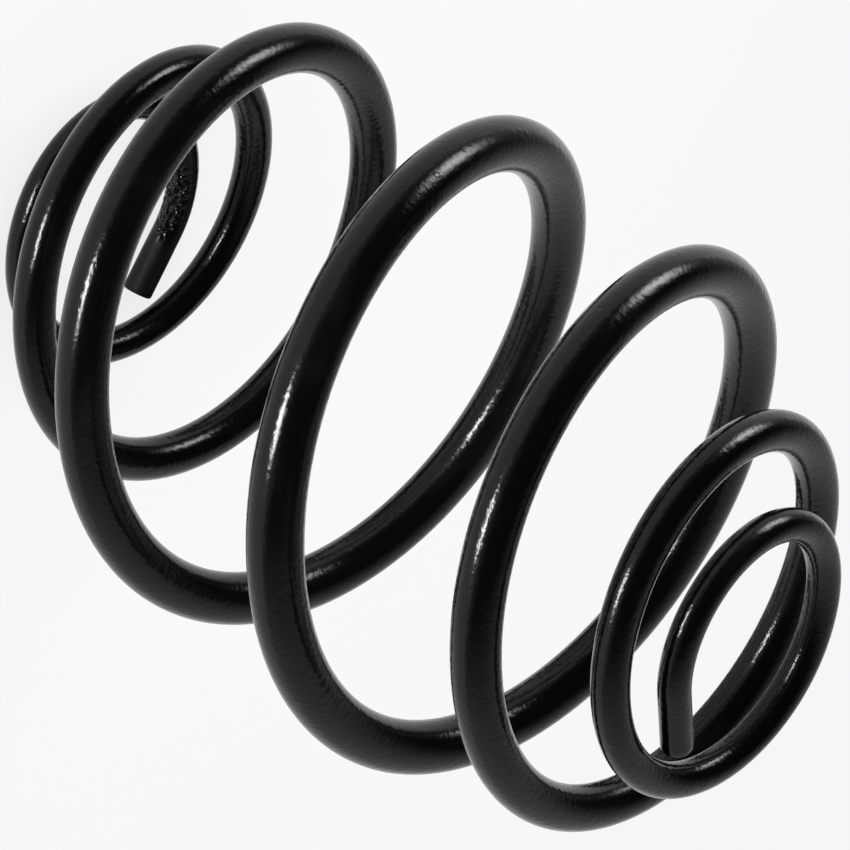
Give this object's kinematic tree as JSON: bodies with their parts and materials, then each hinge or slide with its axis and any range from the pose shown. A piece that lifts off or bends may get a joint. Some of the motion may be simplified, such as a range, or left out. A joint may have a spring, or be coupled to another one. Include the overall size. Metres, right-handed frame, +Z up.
{
  "type": "suspension spring",
  "caption": "Barrel-shaped coil suspension spring of tapered round steel bar, wound right-handed, with small flat end turns nested inside the wide middle turns and a dark coat.",
  "frame": {"origin": "centre of the lower end turn, on the plane that this turn stands on", "axes": "+Z up from the lower end turn to the upper one; +X towards the side to which the upper end turn is shifted"},
  "size_m": [0.1421, 0.1407, 0.204],
  "materials": {
    "dark_coat": "glossy black coat over spring steel"
  },
  "bodies": {
    "root": {"coil_spring": "dark_coat"}
  },
  "joints": []
}
